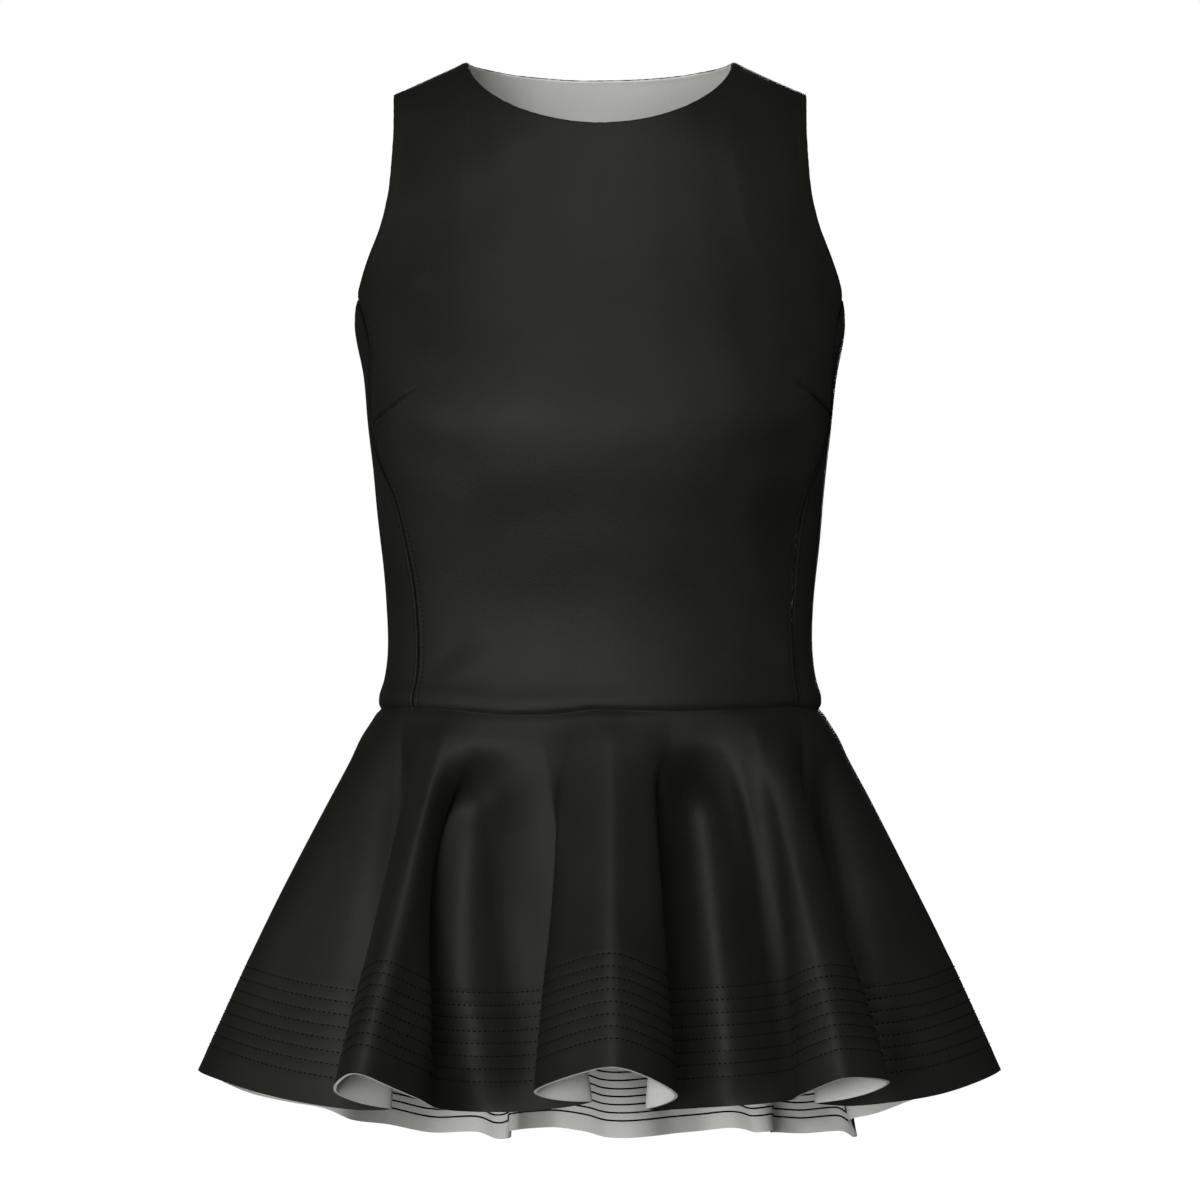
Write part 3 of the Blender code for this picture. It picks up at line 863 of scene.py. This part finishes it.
def makePeplum(half):
    cut = peplumHalves[half]
    hemRun = runs(hems[half][:, None, :2], 0)[-1, 0]
    edge = 1.2 / hemRun
    shares = np.concatenate([[0, edge * 0.4, edge], np.linspace(0, 1, cut["columns"] + 1)[1:-1],
                             [1 - edge, 1 - edge * 0.4, 1]])
    longest = peplum["sideLength"]
    drops = spread([(1.0, 0.5), (16, 1.9), (longest - 84, 4.6), (longest, 1.32)]) / longest
    down, share = np.meshgrid(drops[::-1], shares, indexing="ij")
    gap = form["seamGap"] / 2 / hemRun
    share = gap + share * (1 - 2 * gap)
    points, length = peplumPoint(half, share, down)
    fromSeam = length * down
    normals = levelNear(peplumNormal(half, share, down), fromSeam, sewing["levelReach"])
    lift = peplumLift(half, share, down, length, hemRun)
    toSide = np.minimum(share, 1 - share) * runAt(hemRun, down)
    lift -= peplum["seamDepth"] * bell(toSide, peplum["seamWidth"])
    rounding = edgeRounding(toSide, form["thickness"])
    allowance = np.maximum(allowanceNear(toSide), allowanceNear(fromSeam))
    outer, inner = shellFaces(points, normals, lift, rounding, allowance)
    cells = (share.shape[0] - 1, share.shape[1] - 1)
    kinds = {"outside": np.zeros(cells, int), "inside": np.ones(cells, int), "rim": 0, "bottomRim": 2}
    uv = np.stack([share * hemRun, -fromSeam], axis=-1)
    piece = clothPiece(half + "Peplum", outer, inner, uv, kinds)
    ownClothPart(piece, cut["node"])
    return hemRun


print("peplum")
hemRuns = {half: makePeplum(half) for half in peplumHalves}


def hemRowLines(half, side):
    # the eight lines of stitching, on the outside (side 1) or the inside (side -1) of the cloth
    hemRun = hemRuns[half]
    lines = []
    for row in range(hemRows["count"]):
        share = np.linspace(0.0012, 0.9988, int(hemRun / hemRows["pointSpacing"]))
        _, length = peplumPoint(half, share, np.ones_like(share))
        wander = hemRows["wander"] * unevenness(share * hemRun, share * 0 + row * 37, 120, 60 + row)
        lowest, spacing = rowPlaces(half, share)
        above = lowest + spacing * row + wander
        down = 1 - above / length
        points, length = peplumPoint(half, share, down)
        normals = peplumNormal(half, share, down)
        lift = peplumLift(half, share, down, length, hemRun)
        if side > 0:
            offset = lift + hemRows["threadRadius"] * 0.55
        else:
            offset = lift - form["thickness"] - hemRows["innerRadius"] * 0.5
        lines.append(points + normals * offset[..., None])
    return lines


def newTree(name, inputs):
    tree = bpy.data.node_groups.new(name, "GeometryNodeTree")
    tree.interface.new_socket("Geometry", in_out="INPUT", socket_type="NodeSocketGeometry")
    sockets = {}
    for label, kind in inputs:
        sockets[label] = tree.interface.new_socket(label, in_out="INPUT", socket_type=kind).identifier
    tree.interface.new_socket("Geometry", in_out="OUTPUT", socket_type="NodeSocketGeometry")
    return tree, sockets, tree.nodes.new("NodeGroupInput").outputs


def endTree(tree, geometry, thread):
    real = addNode(tree, "GeometryNodeRealizeInstances", {"Geometry": geometry})
    finish = addNode(tree, "GeometryNodeSetMaterial",
                     {"Geometry": real.outputs["Geometry"], "Material": thread})
    addNode(tree, "NodeGroupOutput", {"Geometry": finish.outputs["Geometry"]})


def makeStitchTree():
    # separate stitches along a line of sewing
    tree, sockets, given = newTree("dashedStitches", [
        ("Pitch", "NodeSocketFloat"), ("Stitch Length", "NodeSocketFloat"),
        ("Thread Radius", "NodeSocketFloat"), ("Unevenness", "NodeSocketFloat"),
        ("Tilt", "NodeSocketFloat"), ("Seed", "NodeSocketInt"), ("Thread", "NodeSocketMaterial"),
    ])
    places = addNode(tree, "GeometryNodeCurveToPoints",
                     {"Curve": given["Geometry"], "Length": given["Pitch"]}, mode="LENGTH")
    stitch = addNode(tree, "GeometryNodeMeshUVSphere", {"Segments": 5, "Rings": 3, "Radius": 1.0})
    halfLength = calculated(tree, "MULTIPLY", given["Stitch Length"], 0.5)
    size = addNode(tree, "ShaderNodeCombineXYZ",
                   {"X": given["Thread Radius"], "Y": given["Thread Radius"], "Z": halfLength})
    shaped = addNode(tree, "GeometryNodeTransform",
                     {"Geometry": stitch.outputs["Mesh"], "Scale": size.outputs[0]})
    less = calculated(tree, "SUBTRACT", 1.0, given["Unevenness"])
    more = calculated(tree, "ADD", 1.0, given["Unevenness"])
    factor = addNode(tree, "FunctionNodeRandomValue", {2: less, 3: more, "Seed": given["Seed"]},
                     data_type="FLOAT")
    placed = addNode(tree, "GeometryNodeInstanceOnPoints", {
        "Points": places.outputs["Points"], "Rotation": places.outputs["Rotation"],
        "Instance": shaped.outputs["Geometry"], "Scale": factor.outputs[1],
    })
    negative = calculated(tree, "MULTIPLY", given["Tilt"], -1.0)
    turn = addNode(tree, "FunctionNodeRandomValue",
                   {0: negative, 1: given["Tilt"], "Seed": given["Seed"]}, data_type="FLOAT_VECTOR")
    tilted = addNode(tree, "GeometryNodeRotateInstances",
                     {"Instances": placed.outputs["Instances"], "Rotation": turn.outputs[0]})
    endTree(tree, tilted.outputs["Instances"], given["Thread"])
    return tree, sockets


def makeThreadTree():
    # a thread that runs on along a line of sewing
    tree, sockets, given = newTree("runningThread", [
        ("Step", "NodeSocketFloat"), ("Thread Radius", "NodeSocketFloat"), ("Pinch", "NodeSocketFloat"),
        ("Seed", "NodeSocketInt"), ("Thread", "NodeSocketMaterial"),
    ])
    divided = addNode(tree, "GeometryNodeResampleCurve",
                      {"Curve": given["Geometry"], "Length": given["Step"]}, mode="LENGTH")
    thinner = addNode(tree, "FunctionNodeRandomValue",
                      {2: given["Pinch"], 3: 1.0, "Seed": given["Seed"]}, data_type="FLOAT")
    radius = addNode(tree, "GeometryNodeSetCurveRadius",
                     {"Curve": divided.outputs["Curve"], "Radius": thinner.outputs[1]})
    ring = addNode(tree, "GeometryNodeCurvePrimitiveCircle",
                   {"Resolution": 5, "Radius": given["Thread Radius"]})
    tube = addNode(tree, "GeometryNodeCurveToMesh", {
        "Curve": radius.outputs["Curve"], "Profile Curve": ring.outputs["Curve"], "Fill Caps": True,
    })
    endTree(tree, tube.outputs["Mesh"], given["Thread"])
    return tree, sockets


stitchTree, stitchSockets = makeStitchTree()
threadTree, threadSockets = makeThreadTree()


def sewAlong(name, lines, tree, sockets, values):
    guide = bpy.data.curves.new(name + "Guide", "CURVE")
    guide.dimensions = "3D"
    for line in lines:
        spline = guide.splines.new("POLY")
        spline.points.add(len(line) - 1)
        places = np.hstack([line * mm, np.ones((len(line), 1))]).astype(np.float32)
        spline.points.foreach_set("co", places.ravel())
    carrier = addObject(name + "Guide", guide)
    modifier = carrier.modifiers.new("sewing", "NODES")
    modifier.node_group = tree
    for label, value in values.items():
        modifier[sockets[label]] = value
    depsgraph = bpy.context.evaluated_depsgraph_get()
    mesh = bpy.data.meshes.new_from_object(carrier.evaluated_get(depsgraph), depsgraph=depsgraph)
    carrier.modifiers.remove(modifier)
    bpy.data.objects.remove(carrier)
    mesh.shade_smooth()
    mesh.name = name
    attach(addObject(name, mesh), bodyName)
    print(name, sum(len(p.vertices) - 2 for p in mesh.polygons), "triangles")


print("hem stitches")
for seed, half in enumerate(peplumHalves):
    sewAlong(half + "HemStitches", hemRowLines(half, 1), stitchTree, stitchSockets, {
        "Pitch": hemRows["pitch"] * mm, "Stitch Length": hemRows["stitchLength"] * mm,
        "Thread Radius": hemRows["threadRadius"] * mm, "Unevenness": hemRows["uneven"],
        "Tilt": hemRows["tilt"], "Seed": 3 + seed, "Thread": blackThread,
    })
    sewAlong(half + "HemThreads", hemRowLines(half, -1), threadTree, threadSockets, {
        "Step": hemRows["innerPitch"] * mm, "Thread Radius": hemRows["innerRadius"] * mm,
        "Pinch": hemRows["pinch"], "Seed": 13 + seed, "Thread": blackThread,
    })

# Topstitching beside the seams that join the front and back to the panels under the arms
seamStitches = {
    "pitch": 3.2, "stitchLength": 2.4, "threadRadius": 0.34, "uneven": 0.1, "tilt": 0.08, "raised": 0.05,
    # the join thread's height, size, step and pinch; this thread also paints a dark shade line along each
    # seam
    "joinShadeRaised": 0.95, "joinShadeRadius": 0.55, "joinShadeStep": 3.0, "joinShadePinch": 0.85,
}


def columnLine(grid, fromEdge, atEnd, raised):
    # a line on the cloth at an even distance from the grid's first or last column
    outer = grid["outer"][:, ::-1] if atEnd else grid["outer"]
    normals = grid["normals"][:, ::-1] if atEnd else grid["normals"]
    rows = range(len(outer)) if "seamRows" not in grid else np.nonzero(grid["seamRows"])[0]
    line = []
    for r in list(rows)[3:-2]:
        lengths = runs(outer[r][:, None], 0)[:, 0]
        place = np.array([np.interp(fromEdge, lengths, outer[r][:, k]) for k in range(3)])
        normal = np.array([np.interp(fromEdge, lengths, normals[r][:, k]) for k in range(3)])
        line.append(place + normal * raised)
    return np.array(line)


stitchedGrids = (
    (frontGrid, sewing["stitchesOnMain"]), (backGrid, sewing["stitchesOnMain"]),
    (leftGrid, sewing["stitchesOnSide"]), (rightGrid, sewing["stitchesOnSide"]),
)
seamLines = [columnLine(grid, fromSeam, atEnd, seamStitches["raised"])
             for grid, fromSeam in stitchedGrids for atEnd in (False, True)]
sewAlong("seamStitches", seamLines, stitchTree, stitchSockets, {
    "Pitch": seamStitches["pitch"] * mm, "Stitch Length": seamStitches["stitchLength"] * mm,
    "Thread Radius": seamStitches["threadRadius"] * mm, "Unevenness": seamStitches["uneven"],
    "Tilt": seamStitches["tilt"], "Seed": 23, "Thread": blackThread,
})
# a black thread lies deep in each seam: it is the stitching that joins the panels, and it is also painted
# shade that darkens the seam's line
joinShadeLines = [columnLine(grid, 0.0, atEnd, seamStitches["joinShadeRaised"])
             for grid in (frontGrid, backGrid) for atEnd in (False, True)]
sewAlong("seamJoinShadeThreads", joinShadeLines, threadTree, threadSockets, {
    "Step": seamStitches["joinShadeStep"] * mm, "Thread Radius": seamStitches["joinShadeRadius"] * mm,
    "Pinch": seamStitches["joinShadePinch"], "Seed": 29, "Thread": blackThread,
})

print("studio")
studio = {
    "floorDrop": 1.4, "floorRadius": 14, "floorColour": (0.93, 0.93, 0.93), "floorGlow": 1.0,
    "backgroundLevel": 1.0, "roomLevel": 0.02, "cameraPlace": (0.0, -3.0, -0.3443), "lens": 140.625,
    "sensor": 36.0, "clipEnd": 60, "floorSides": 96, "lightsAimAt": (0.0, 0.0, -0.35),
}
floorMesh = bpy.data.meshes.new("studioFloor")
turns = [2 * math.pi * i / studio["floorSides"] for i in range(studio["floorSides"])]
radius = studio["floorRadius"]
corners = [(radius * math.cos(t), radius * math.sin(t), -studio["floorDrop"]) for t in turns]
floorMesh.from_pydata(corners, [], [list(range(studio["floorSides"]))])
floor = addObject("studioFloor", floorMesh)
floorMaterial, _, shader = newMaterial("paleFloor")
shader.inputs["Base Color"].default_value = (*studio["floorColour"], 1)
shader.inputs["Roughness"].default_value = 0.8
shader.inputs["Specular IOR Level"].default_value = 0.1
shader.inputs["Emission Color"].default_value = (1, 1, 1, 1)
shader.inputs["Emission Strength"].default_value = studio["floorGlow"]
floorMesh.materials.append(floorMaterial)
floor.visible_diffuse = False
floor.visible_glossy = False

# the room looks white behind the garment and lights it only dimly, so the soft boxes shape it
world = bpy.data.worlds.new("softWhiteRoom")
world.use_nodes = True
seen = world.node_tree.nodes["Background"]
seen.inputs["Strength"].default_value = studio["backgroundLevel"]
seen.inputs["Color"].default_value = (1, 1, 1, 1)
dim = addNode(world.node_tree, "ShaderNodeBackground",
              {"Strength": studio["roomLevel"], "Color": (1, 1, 1, 1)})
path = addNode(world.node_tree, "ShaderNodeLightPath", {})
choice = addNode(world.node_tree, "ShaderNodeMixShader",
                 {0: path.outputs["Is Camera Ray"], 1: dim.outputs[0], 2: seen.outputs[0]})
world.node_tree.links.new(choice.outputs[0], world.node_tree.nodes["World Output"].inputs["Surface"])
bpy.context.scene.world = world

# name, place, power in watts, width, height
softBoxes = (
    ("frontBox", (-0.8, -3.7, -0.3), 86, 0.8, 1.3),
    ("keyBox", (-2.1, -1.7, -0.75), 17, 0.5, 0.9),
    ("fillBox", (1.8, -3.3, 0.2), 12, 1.0, 1.5),
    ("leftEdgeBox", (-3.2, -0.3, 0.0), 7, 1.0, 1.8),
    ("rightEdgeBox", (3.2, -0.1, 0.0), 5, 1.0, 1.8),
    ("backBox", (0.2, 3.8, 0.5), 110, 1.4, 1.8),
    ("topBox", (0.0, -2.4, 2.1), 40, 0.9, 0.9),
)
target = Vector(studio["lightsAimAt"])
for name, place, power, width, height in softBoxes:
    lamp = bpy.data.lights.new(name, "AREA")
    lamp.shape = "RECTANGLE"
    lamp.size, lamp.size_y = width, height
    lamp.energy = power
    holder = addObject(name, lamp)
    holder.location = place
    holder.rotation_euler = (target - Vector(place)).to_track_quat("-Z", "Y").to_euler()

cameraData = bpy.data.cameras.new("photoCamera")
cameraData.lens = studio["lens"]
cameraData.sensor_width = studio["sensor"]
cameraData.clip_end = studio["clipEnd"]
camera = addObject("photoCamera", cameraData)
camera.location = studio["cameraPlace"]
camera.rotation_euler = (math.pi / 2, 0, 0)
bpy.context.scene.camera = camera
bpy.context.scene.view_settings.view_transform = "Standard"
